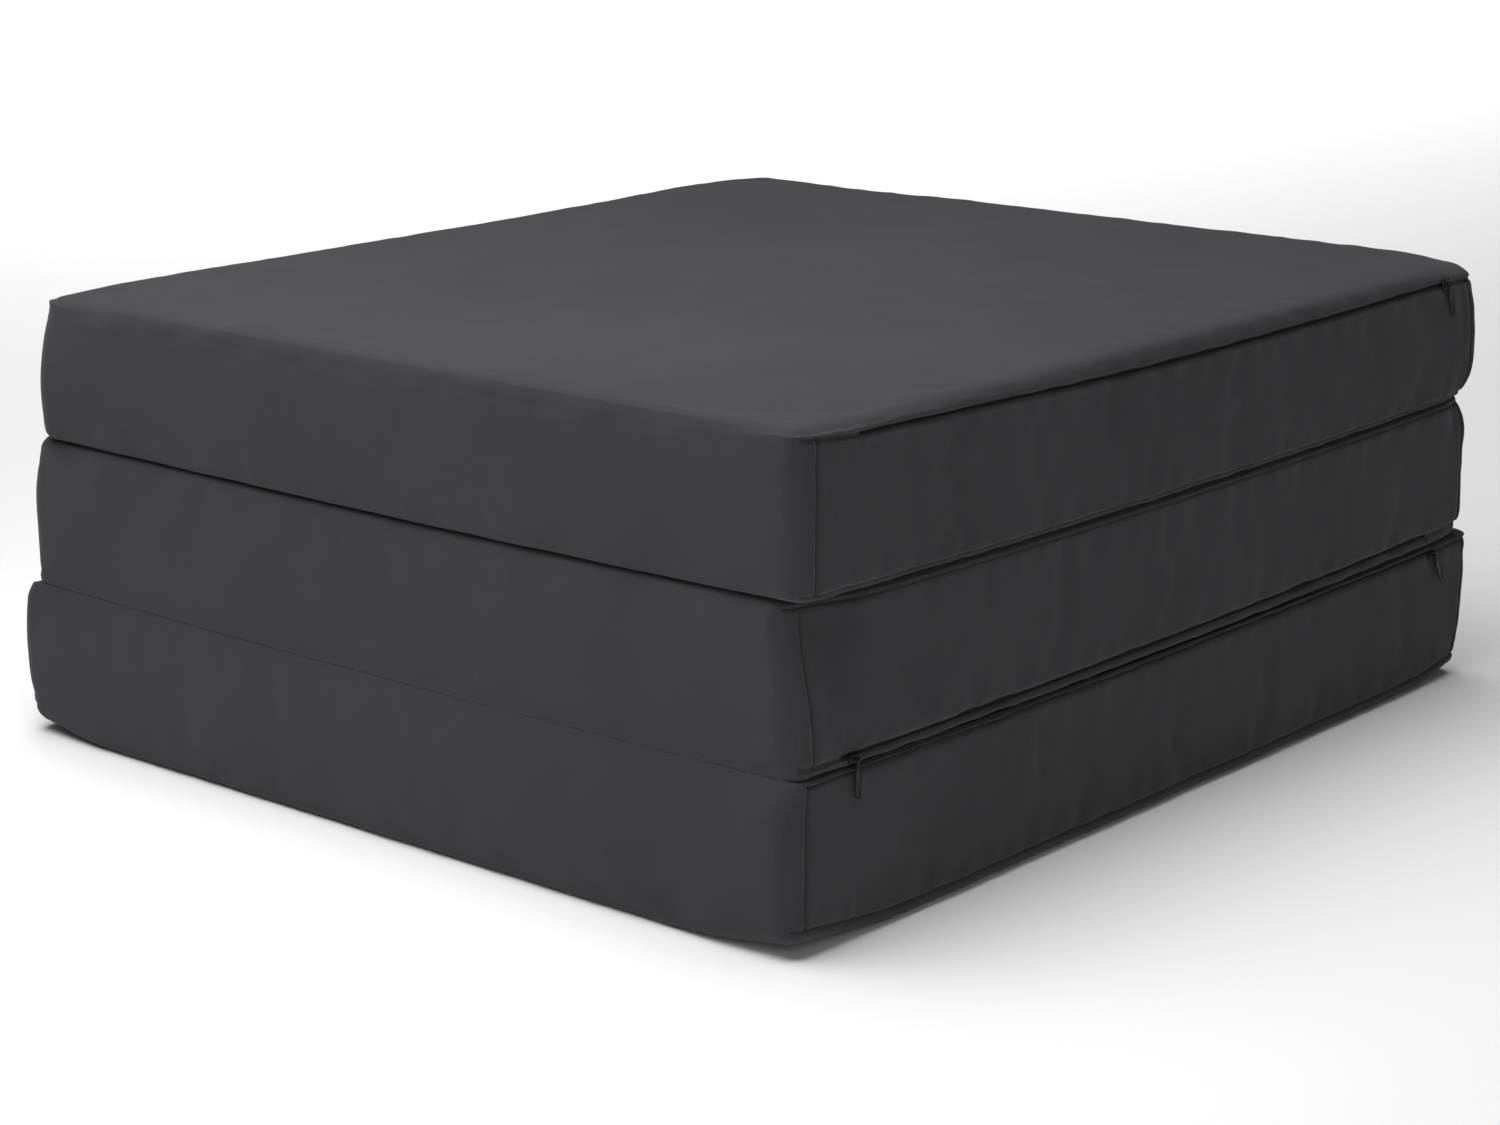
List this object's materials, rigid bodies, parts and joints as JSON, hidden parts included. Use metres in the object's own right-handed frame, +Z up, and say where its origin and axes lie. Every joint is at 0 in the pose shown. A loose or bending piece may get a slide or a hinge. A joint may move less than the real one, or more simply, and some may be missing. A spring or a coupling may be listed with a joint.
{
  "type": "futon mattress",
  "caption": "Folding foam guest mattress, folded into a stack of thick blocks, in a dark fabric cover with a zipper along the side of each block.",
  "frame": {"origin": "centre of the folded stack's underside, on the floor", "axes": "+Z up; +X along the panel length, so the lower fold is at low X and the upper fold at high X; +Y along the mattress width, away from the side with the zippers"},
  "size_m": [0.684, 0.6167, 0.271],
  "materials": {
    "cover_fabric": "matte",
    "foam": "matte",
    "zip_tape": "matte",
    "zip_coil": "satin",
    "zip_metal": "satin"
  },
  "bodies": {
    "bottom_block": {"bottom_foam_core": "foam", "bottom_sleeping_side_sheet": "cover_fabric", "bottom_base_side_sheet": "cover_fabric", "bottom_left_end_panel": "cover_fabric", "bottom_right_end_panel": "cover_fabric", "bottom_zip_side_panel": "cover_fabric", "bottom_rear_side_panel": "cover_fabric", "bottom_zip_upper_coil": "zip_coil", "bottom_zip_lower_coil": "zip_coil", "bottom_zip_upper_tape": "zip_tape", "bottom_zip_lower_tape": "zip_tape", "bottom_zip_end_stops": "zip_metal"},
    "bottom_slider": {"bottom_zip_slider": "zip_metal"},
    "bottom_pull": {"bottom_zip_pull": "zip_metal"},
    "middle_block": {"middle_foam_core": "foam", "middle_sleeping_side_sheet": "cover_fabric", "middle_base_side_sheet": "cover_fabric", "middle_left_end_panel": "cover_fabric", "middle_right_end_panel": "cover_fabric", "middle_zip_side_panel": "cover_fabric", "middle_rear_side_panel": "cover_fabric", "middle_zip_upper_coil": "zip_coil", "middle_zip_lower_coil": "zip_coil", "middle_zip_upper_tape": "zip_tape", "middle_zip_lower_tape": "zip_tape", "middle_zip_end_stops": "zip_metal"},
    "middle_slider": {"middle_zip_slider": "zip_metal"},
    "middle_pull": {"middle_zip_pull": "zip_metal"},
    "top_block": {"top_foam_core": "foam", "top_sleeping_side_sheet": "cover_fabric", "top_base_side_sheet": "cover_fabric", "top_left_end_panel": "cover_fabric", "top_right_end_panel": "cover_fabric", "top_zip_side_panel": "cover_fabric", "top_rear_side_panel": "cover_fabric", "top_zip_upper_coil": "zip_coil", "top_zip_lower_coil": "zip_coil", "top_zip_upper_tape": "zip_tape", "top_zip_lower_tape": "zip_tape", "top_zip_end_stops": "zip_metal"},
    "top_slider": {"top_zip_slider": "zip_metal"},
    "top_pull": {"top_zip_pull": "zip_metal"}
  },
  "joints": [
    {"name": "lower_fold", "type": "hinge", "parent": "bottom_block", "child": "middle_block", "pos_m": [-0.33785, 0, 0.0925], "axis": [0, -1, 0], "range_deg": [0, 179.9]},
    {"name": "upper_fold", "type": "hinge", "parent": "middle_block", "child": "top_block", "pos_m": [0.33585, 0, 0.1825], "axis": [0, 1, 0], "range_deg": [0, 179.9]},
    {"name": "bottom_zip_slide", "type": "slide", "parent": "bottom_block", "child": "bottom_slider", "axis": [-1, 0, 0], "range_m": [0, 0.571]},
    {"name": "bottom_pull_swing", "type": "hinge", "parent": "bottom_slider", "child": "bottom_pull", "pos_m": [0.291, -0.3034, 0.0873], "axis": [-1, 0, 0], "range_deg": [0, 175]},
    {"name": "middle_zip_slide", "type": "slide", "parent": "middle_block", "child": "middle_slider", "axis": [1, 0, 0], "range_m": [0, 0.57]},
    {"name": "middle_pull_swing", "type": "hinge", "parent": "middle_slider", "child": "middle_pull", "pos_m": [-0.293, -0.3034, 0.0978], "axis": [-1, 0, 0], "range_deg": [0, 175]},
    {"name": "top_zip_slide", "type": "slide", "parent": "top_block", "child": "top_slider", "axis": [-1, 0, 0], "range_m": [0, 0.57]},
    {"name": "top_pull_swing", "type": "hinge", "parent": "top_slider", "child": "top_pull", "pos_m": [0.29, -0.3034, 0.2595], "axis": [-1, 0, 0], "range_deg": [0, 175]}
  ]
}
